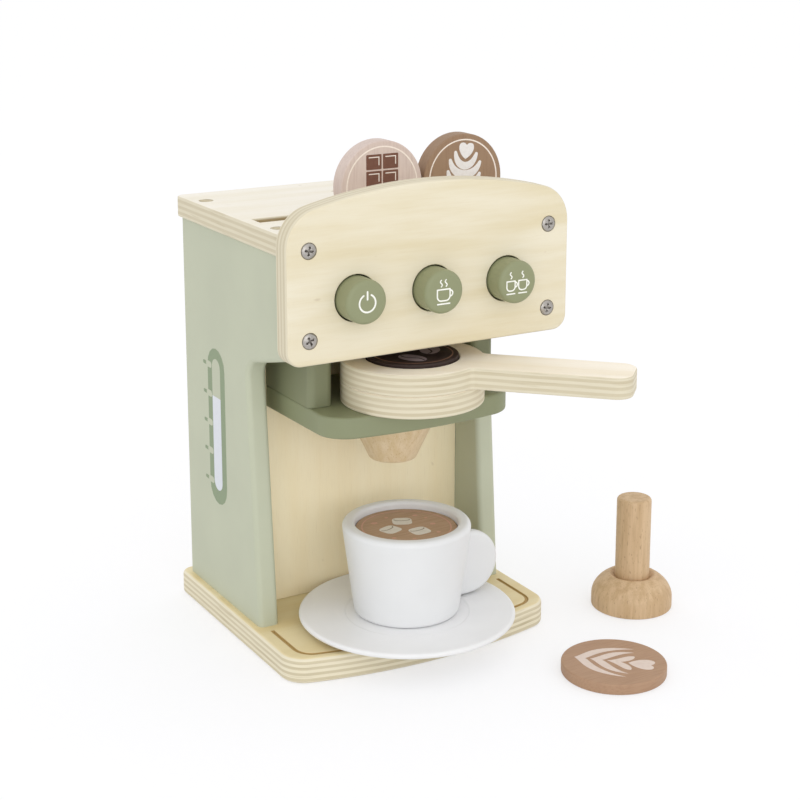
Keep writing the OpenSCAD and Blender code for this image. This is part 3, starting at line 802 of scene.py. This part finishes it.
signs = dict(zip(BUTTONS, (
    [stroke(arc(0, -0.3, 4.5, 118, 422, 40), 0.9), stroke([(0, 1.6), (0, 5.4)], 0.95)],
    mug(-0.7, -4.2, 7.4, 5.8) + steam(-2.1, 3.1, 3.4) + steam(0.7, 3.1, 3.4),
    mug(-4.6, -3.9, 5.0, 5.0, 0.7) + mug(2.6, -3.9, 5.0, 5.0, 0.7)
    + steam(-4.6, 2.5, 3.2) + steam(2.6, 2.5, 3.2),
)))
BUTTON_R, COLLAR_R, STEM_R = 11.3, 14.5, 4.0
STEM_L, COLLAR_T, HEAD_L = 23.0, 3.0, 23.0
button_paint = paint("green_button_paint", "#8e926f", roughness=0.45)
sign_ink = screen_ink("white_sign_ink", "#f4f4ec", "#dfe0d2")
for label, sign in signs.items():
    button = "button_" + label
    face = front_of(button)
    on_lathe(button + "_painted", button, [
        (0, -STEM_L), (STEM_R, -STEM_L, 0.5), (STEM_R, -COLLAR_T), (COLLAR_R, -COLLAR_T, 0.4),
        (COLLAR_R, 0, 0.4), (BUTTON_R, 0), (BUTTON_R, HEAD_L - 0.15, 2.3), (0, HEAD_L),
    ], face @ Matrix.Translation((0, 0, -HEAD_L * MM)), button_paint, label + "_button",
        segments=96)
    printed("sign_" + label, sign, face, sign_ink, label + "_button")

# ---- Springs: steel wire wound into a coil round each button's stem, between its
# collar and the rail.
coil = Shape("coil_spring", Radius="Float", Length="Float", Wire="Float", Turns="Float",
             Finish="Material")
helix = coil.node("GeometryNodeCurveSpiral", {
    "Resolution": 32, "Rotations": coil.given("Turns"), "Start Radius": coil.given("Radius"),
    "End Radius": coil.given("Radius"), "Height": coil.given("Length")}, out="Curve")
wire = coil.node("GeometryNodeCurvePrimitiveCircle", {
    "Resolution": 12, "Radius": coil.given("Wire")}, out="Curve", mode="RADIUS")
wound = coil.node("GeometryNodeCurveToMesh", {
    "Curve": helix, "Profile Curve": wire, "Fill Caps": True}, out="Mesh")
coil.result(wound)
COIL_R, WIRE_R, COIL_TURNS, PRESSED_SHARE = 6.0, 0.4, 4.0, 0.38
for label in BUTTONS:
    name = "spring_" + label
    low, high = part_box(name)
    seat = front_of(name).translation
    mesh = coil.bake(bpy.data.meshes.new(name), Radius=COIL_R * MM, Wire=WIRE_R * MM,
                     Length=high.y - low.y - 2 * WIRE_R * MM, Turns=COIL_TURNS, Finish=steel.owner)
    stood(mesh, Matrix.Translation(seat) @ Matrix.Rotation(-math.pi / 2, 4, "X")
          @ Matrix.Translation((0, 0, WIRE_R * MM)))
    spring = softened(finished(name + "_wound", mesh, steel, "machine", [name]))
    "press_" + label
    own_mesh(spring)

# ---- Water gauge: a sight tube and its marks, screen-printed on the left side panel
# in sage and white, with the panel's own green left bare above the water.
GAUGE_Y, TUBE_LOW, TUBE_HIGH, TUBE_W = 28.3, 68.0, 156.7, 22.1
WATER_LEVEL, BORE_LOW, BORE_HIGH, BORE_W = 129.3, 76.0, 150.9, 10.6


def pill(low, high, width):
    """An upright bar with round ends, from low to high."""
    return stroke([(0, low + width / 2), (0, high - width / 2)], width)


def marks(start, end, width):
    """The gauge's five marks, each a short stroke from start to end."""
    return [stroke([(start, z), (end, z)], width) for z in (146.0, 129.5, 113.0, 96.7, 79.8)]


gauge_spot = Matrix.Translation((panel_low.x * MM, GAUGE_Y * MM, 0)) @ Matrix((
    (0, 0, -1), (-1, 0, 0), (0, 1, 0))).to_4x4()
sage_ink = screen_ink("sage_ink", "#8c9a7c", "#84917a", worn=0.4)
water_ink = screen_ink("water_ink", "#dcdfe6", "#d0d5dc", worn=0.3)
bare_ink = paint("bare_panel_green", PANEL_GREEN)
printed("gauge_border", [pill(TUBE_LOW, TUBE_HIGH, TUBE_W), *marks(-10.6, -16.2, 2.0)],
        gauge_spot, sage_ink, "machine")
printed("gauge_bore", [pill(BORE_LOW, BORE_HIGH, BORE_W), *marks(-7.6, -11.3, 3.6)],
        gauge_spot, bare_ink, "machine", first_layer=6)
printed("gauge_water", [[
    [*arc(0, BORE_LOW + BORE_W / 2, BORE_W / 2, 180, 360), (BORE_W / 2, WATER_LEVEL),
     (-BORE_W / 2, WATER_LEVEL)],
]], gauge_spot, water_ink, "machine", first_layer=12)

# ---- Shelf and cheeks: the green shelf that the filter holder rests on, doweled to
# the board behind it, and the two blocks that guide the holder in between them.
shelf_paint = paint("green_shelf_paint", "#898e6e")
shelf_low, shelf_high = (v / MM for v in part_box("drip_shelf"))


def shelf_rim(p):
    """True round the shelf's free edges, and not in its bores or where it meets the alcove."""
    middle = (shelf_low.z + shelf_high.z) / 2
    return p.y < shelf_high.y - 2 and abs(p.z - middle) > NEAR


sanded("drip_shelf_painted", "drip_shelf", shelf_paint, "machine",
       [(1.5, shelf_rim)])
# The cheeks take the shelf's green made darker: painted shade for the shadow that falls on them in
# the alcove.
cheek_painted_shade = paint("green_cheek_paint", "#818567")
for cheek in ("left_cheek", "right_cheek"):
    sanded(cheek + "_painted", cheek, cheek_painted_shade, "machine",
           [(0.5, everywhere)])

# ---- Spout: a turned hardwood funnel with a shallow mouth, glued under the middle
# of the shelf, over the cup.


def stand_on(node):
    """The middle of a turned piece's foot, as a matrix, with its radius and its height."""
    low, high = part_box(node)
    foot = Matrix.Translation(((low.x + high.x) / 2, (low.y + high.y) / 2, low.z))
    return foot, (high.x - low.x) / 2 / MM, (high.z - low.z) / MM


spout_wood = beech("spout_wood", "#dfcaa9", "#d5bd95", "#ba9669")
spout_foot, spout_r, spout_h = stand_on("spout")
SPOUT_TIP_R, MOUTH_R, MOUTH_DEPTH = 12.6, 4.0, 0.5
on_lathe("spout_turned", "spout", [
    (0, MOUTH_DEPTH), (MOUTH_R - 0.4, MOUTH_DEPTH), (MOUTH_R, 0), (SPOUT_TIP_R, 0, 1.2),
    (spout_r, spout_h), (0, spout_h),
], spout_foot, spout_wood, "machine")

# ---- Filter holder: a round head of two plywood layers with a flat handle, cut from
# one board with the upper layer, and a recess that a coffee disc drops into.
HANDLE_TURN = math.radians(44.7)
for part in ("portafilter_plate", "portafilter_disc"):
    holder_wood = plywood(part + "_plywood", part, 2, 0, "#fcf4e6", "#f3e7d0", turn=HANDLE_TURN)
    sanded(part + "_finished", part, holder_wood, "portafilter",
           [(0.9, everywhere)])

# ---- Coffee discs: turned wood, painted, each with a print on its face. One lies in
# the filter holder, one in the cup, two stand in slots of the top, one is loose.


def painted_wood(name, tone, shade, grain_axis):
    """Thin matt paint on wood, with the grain just showing through it."""
    coat = Finish(name, IOR=1.45)
    at = place(coat)
    grain = noise(coat, at, tuple(60 if axis == grain_axis else 900 for axis in range(3)), 3.0, 0.6)
    cloud = noise(coat, at, 70, 3.0)
    skin = noise(coat, at, 1100)
    coat.feed("Base Color", layered(coat, tone, (grain, 0.42, 0.72, 0.75, shade),
                                    (cloud, 0.35, 0.75, 0.35, shade)))
    coat.feed("Roughness", 0.5 + skin * 0.1 + grain * 0.08)
    dent(coat, grain * 0.7 + skin * 0.3, 0.35, 0.03 * MM)
    return coat


def moved(path, x, y, turn=0.0):
    """A path turned by an angle in degrees and then shifted."""
    c, s = math.cos(math.radians(turn)), math.sin(math.radians(turn))
    return [(x + c * u - s * v, y + s * u + c * v) for u, v in path]


def oval(x, y, a, b, turn=0.0):
    """An ellipse as one outline, turned by an angle in degrees."""
    return [moved([(a * u, b * v) for u, v in arc(0, 0, 1, 0, 360, 32)[:-1]], x, y, turn)]


def curve(*points, steps=14):
    """A quadratic or cubic curve between two ends."""
    line = []
    for k in range(steps + 1):
        row = [Vector(p) for p in points]
        while len(row) > 1:
            row = [a.lerp(b, k / steps) for a, b in zip(row, row[1:])]
        line.append(tuple(row[0]))
    return line


def heart(y, w, h):
    """A heart on the middle line with its point down at y."""
    half = [*curve((0, 0), (w * 0.62, h * 0.38), (w * 0.62, h * 1.04), (w * 0.22, h)),
            *curve((w * 0.22, h), (w * 0.08, h * 0.98), (0, h * 0.86), steps=5)[1:]]
    return [[(u, y + v) for u, v in half] + [(-u, y + v) for u, v in half[-2:0:-1]]]


def brush(half, thick, thin):
    """A symmetric stroke from half of its path, which ends on the middle line, thick there
    and thin at its ends."""
    path = half + [(-u, v) for u, v in half[-2::-1]]
    widths = [thin + (thick - thin) * math.sin(math.pi * k / (len(path) - 1)) ** 0.8
              for k in range(len(path))]
    return stroke(path, widths)


def leaf(w, top, tip, thick):
    """A leaf folded round the middle line: its two ends at w to each side, its point at tip."""
    under = curve((-w, top), (-w * 1.02, tip + thick * 1.2), (-w * 0.3, tip + thick * 0.9), (0, tip))
    over = curve((-w, top), (-w * 0.74, tip + thick * 2.1), (-w * 0.24, tip + thick * 1.7),
                 (0, tip + thick))
    right_half = [(-u, v) for u, v in under[-2::-1]] + [(-u, v) for u, v in over[1:]]
    return [under + right_half + over[-2:0:-1]]


def slab(x, y, w, h, r=0.5):
    """A rectangle with rounded corners, by its middle and its size."""
    loop = [(x + a * w / 2, y + b * h / 2, r) for a, b in ((-1, -1), (1, -1), (1, 1), (-1, 1))]
    return [rounded(loop, steps=4)]


def painted_disc(node, body, finish):
    """Turns a disc to the size of its node, and returns the middle of its printed face,
    which looks forward on a disc that stands on edge and up on one that lies flat."""
    low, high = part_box(node)
    sizes = high - low
    disc_t, disc_r = min(sizes), max(sizes) / 2 / MM
    if sizes.y == disc_t:
        face = front_of(node)
    else:
        face = stand_on(node)[0] @ Matrix.Translation((0, 0, disc_t))
    on_lathe(node + "_painted", node, [
        (0, 0), (disc_r, 0, 0.8), (disc_r, disc_t / MM, 0.8), (0, disc_t / MM),
    ], face @ Matrix.Translation((0, 0, -disc_t)), finish, body)
    return face


def turn_of(angle):
    """A drawing's turn on its face, in degrees."""
    return Matrix.Rotation(math.radians(angle), 4, "Z")


RING_R, CUP_RING_R, RING_PEN = 21.1, 23.9, 0.75
pale_ink = screen_ink("pale_ink", "#f2e7dd", "#e2d3c7")

cream_coat = painted_wood("cream_coat", "#d6c5bc", "#c9b5ac", 2)
brown_ink = screen_ink("chocolate_ink", "#70493a", "#7d5849")
spot = painted_disc("pod_chocolate", "chocolate_disc", cream_coat)
bars = [(x, y) for x in (-5.0, 5.0) for y in (-13.2, -4.4, 4.4, 13.2)]
printed("chocolate_bars", [slab(x, y, 9.2, 8.0) for x, y in bars],
        spot, brown_ink, "chocolate_disc")
printed("chocolate_glints", [
    hoop(RING_R, RING_PEN),
    *(stroke([(x - 2.9, y + 2.5), (x + 3.0, y + 2.5), (x + 3.0, y - 1.6)], 0.5)
      for x, y in bars),
], spot, pale_ink, "chocolate_disc", first_layer=9)

brown_coat = painted_wood("brown_coat", "#9b7f65", "#907259", 2)
milk_ink = screen_ink("milk_ink", "#eae7e6", "#dad3cf")
spot = painted_disc("pod_tulip", "tulip_disc", brown_coat)
printed("tulip_ring", [hoop(RING_R, RING_PEN)], spot, pale_ink, "tulip_disc")
cups = [((6.6, 13.8), 6.9, 4.2), ((9.4, 9.4), 2.2, 4.7), ((10.0, 3.2), -4.6, 4.9),
        ((8.6, -4.4), -11.2, 4.6)]
printed("tulip_milk", [
    heart(10.6, 9.4, 8.8),
    *(brush(curve((-w, top), (-w * 0.78, low_at + 0.4), (0, low_at)), thick, 1.9)
      for (w, top), low_at, thick in cups),
    stroke([(0, -15.6), (0, -17.6)], 1.6),
], spot @ turn_of(-7), milk_ink, "tulip_disc")

espresso_coat = painted_wood("espresso_coat", "#33211d", "#241613", 0)
bean_ink = screen_ink("bean_ink", "#a39498", "#918286")
rust_ink = screen_ink("rust_ink", "#94705c", "#846350")
spot = painted_disc("pod_espresso", "espresso_disc", espresso_coat) @ turn_of(
    -math.degrees(HANDLE_TURN))
BEANS_R, BEAN_L, BEAN_W, BEAN_LEAN = 10.6, 8.2, 5.4, 55
beans = [(*moved([(BEANS_R, 0)], 0, 0, a)[0], a + BEAN_LEAN) for a in (-75, 45, 165)]
seam = [(7.4 * k / 8, 1.3 * math.sin(math.pi * k / 8)) for k in range(-8, 9)]
printed("espresso_ring", [hoop(RING_R, 0.7)], spot, rust_ink, "espresso_disc")
printed("espresso_beans", [oval(x, y, BEAN_L, BEAN_W, lean) for x, y, lean in beans],
        spot, bean_ink, "espresso_disc")
printed("espresso_seams", [stroke(moved(seam, *bean), 0.9) for bean in beans],
        spot, espresso_coat, "espresso_disc", first_layer=4)

cocoa_coat = painted_wood("cocoa_coat", "#b5967a", "#a58667", 0)
sugar_ink = screen_ink("marshmallow_ink", "#dcd6cb", "#cbc2b4")
outline_ink = screen_ink("marshmallow_outline_ink", "#8b7864", "#9a866f")
blush_ink = screen_ink("blush_ink", "#c79a84", "#b98c74")
spot = painted_disc("pod_cocoa", "cocoa_disc", cocoa_coat)
printed("cocoa_ring", [hoop(CUP_RING_R, RING_PEN)], spot, blush_ink, "cocoa_disc")
for number, x, y, lean in (("1", -9.5, 0.5, 20), ("2", 2.0, 8.2, -25), ("3", 3.2, -8.6, 4)):
    lay = spot @ Matrix.Translation((x * MM, y * MM, 0)) @ turn_of(lean)
    printed("marshmallow_" + number, [slab(0, 0, 10.6, 10.0, 3.0)], lay, sugar_ink,
            "cocoa_disc")
    printed("marshmallow_edge_" + number, [
        stroke([(-4.3, 2.4), *curve((-4.3, 2.4), (-3.6, 0.2), (3.6, 0.2), (4.3, 2.4))[1:]], 0.6),
    ], lay, outline_ink, "cocoa_disc", first_layer=2)
printed("cocoa_bubbles", [
    oval(x, y, r, r * 0.8) for x, y, r in (
        (-12.5, 13.0, 1.9), (12.5, 12.5, 1.5), (15.8, 6.4, 1.0), (14.6, -3.0, 1.6),
        (-14.0, -11.0, 1.4), (-5.0, -17.0, 1.1), (11.0, -15.0, 1.2), (-3.0, 17.0, 1.1))
], spot, blush_ink, "cocoa_disc")

tan_coat = painted_wood("tan_coat", "#b18f73", "#a58267", 0)
foam_ink = screen_ink("foam_ink", "#e0cfc4", "#d2bdb0")
spot = painted_disc("pod_rosette", "rosette_disc", tan_coat) @ turn_of(-134)
leaves = [(16.8, 8.4, -20.8, 5.8), (12.6, 9.0, -12.4, 6.2), (8.2, 9.6, -3.6, 7.0)]
printed("rosette_foam", [heart(7.6, 11.6, 13.4), *(leaf(*sizes) for sizes in leaves)],
        spot, foam_ink, "rosette_disc")

# ---- Cup and saucer: turned wood under white satin lacquer. The cup has a ledge
# that a disc rests on, and a solid round ear glued to its side.


def lacquer(name, tone, shade):
    """Sprayed white lacquer: an even tone, with the faint skin of several coats."""
    coat = Finish(name, IOR=1.48)
    at = place(coat)
    cloud = noise(coat, at, 26, 3.0)
    skin = noise(coat, at, 520)
    coat.feed("Base Color", mixed(coat, step(coat, cloud, 0.3, 0.75), tone, shade))
    coat.feed("Roughness", 0.36 + cloud * 0.06 + skin * 0.05)
    dent(coat, skin, 0.3, 0.012 * MM)
    return coat


white_coat = lacquer("white_satin_lacquer", "#e6e7e8", "#e1e2e3")
saucer_coat = lacquer("white_saucer_lacquer", "#eeeeef", "#e9e9ea")
cup_foot, _, cup_h = stand_on("cup_body")
WALL_FOOT_R, WALL_RIM_R, SEAT_R, BORE_R = 28.33, 34.9, 27.8, 23.5
SEAT_DEPTH, CUP_FLOOR = 9.73, 6
on_lathe("cup_body_turned", "cup_body", [
    (0, 0), (WALL_FOOT_R, 0, 2.4), (WALL_RIM_R, cup_h, 2.8), (SEAT_R, cup_h, 1.9),
    (SEAT_R, cup_h - SEAT_DEPTH), (BORE_R, cup_h - SEAT_DEPTH), (BORE_R - 2, CUP_FLOOR, 3),
    (0, CUP_FLOOR),
], cup_foot, white_coat, "cup", segments=160)

cup_axis = cup_foot.translation / MM


def ear_rim(p):
    """True on the ear's outline, and not where it is glued to the cup."""
    wall = WALL_FOOT_R + (WALL_RIM_R - WALL_FOOT_R) * (p.z - cup_axis.z) / cup_h
    return math.hypot(p.x - cup_axis.x, p.y - cup_axis.y) > wall + 0.6


sanded("cup_ear_sanded", "cup_handle", white_coat, "cup", [(2.4, ear_rim)])

saucer_foot, saucer_r, saucer_h = stand_on("saucer")
WELL_R, WELL_Z, LIP_R = 33.0, 5.5, 1.5
on_lathe("saucer_turned", "saucer", [
    (0, 0), (WELL_R + 4, 0, 2), (saucer_r - 4, saucer_h - 4, 4),
    *arc(saucer_r - LIP_R, saucer_h - LIP_R, LIP_R, -50, 100, 10),
    (saucer_r - 9, saucer_h - 0.5, 12), (WELL_R + 5, WELL_Z + 0.35, 4),
    (WELL_R + 1, WELL_Z + 0.3, 0.3), (WELL_R, WELL_Z, 0.2), (0, WELL_Z),
], saucer_foot, saucer_coat, "saucer", segments=192)

# ---- Tamper: a turned beech head, domed and a little hollow round its handle, with a round
# handle glued into it. Both are sanded and left bare.
tamper_wood = beech("tamper_beech", "#d2b590", "#c1a27b", "#9c7c5d")
head_foot, head_r, head_h = stand_on("tamper_head")
grip_foot, grip_r, grip_h = stand_on("tamper_handle")
DOME_Z, DOME_STEPS = 6.0, 20
CROWN_R, CROWN_CUT, CROWN_ROUND, DIP = 13.0, 0.6, 1.4, 1.9
dome_rise = (head_h - DOME_Z) / math.sqrt(1 - (CROWN_R / head_r) ** 2)
dome_end = math.acos((CROWN_R + CROWN_CUT) / head_r)
socket_r = grip_r + 0.02
socket_z = (grip_foot.translation.z - head_foot.translation.z) / MM
on_lathe("tamper_head_turned", "tamper_head", [
    (0, 0), (head_r, 0, 0.9),
    *((head_r * math.cos(a), DOME_Z + dome_rise * math.sin(a))
      for a in (dome_end * k / DOME_STEPS for k in range(DOME_STEPS + 1))),
    (CROWN_R - CROWN_CUT, head_h, CROWN_ROUND), (socket_r, head_h - DIP),
    (socket_r, socket_z), (0, socket_z),
], head_foot, tamper_wood, "tamper")
on_lathe("tamper_grip_turned", "tamper_handle", [
    (0, 0), (grip_r, 0, 0.6), (grip_r, grip_h, 2.0), (0, grip_h),
], grip_foot, tamper_wood, "tamper", segments=96)
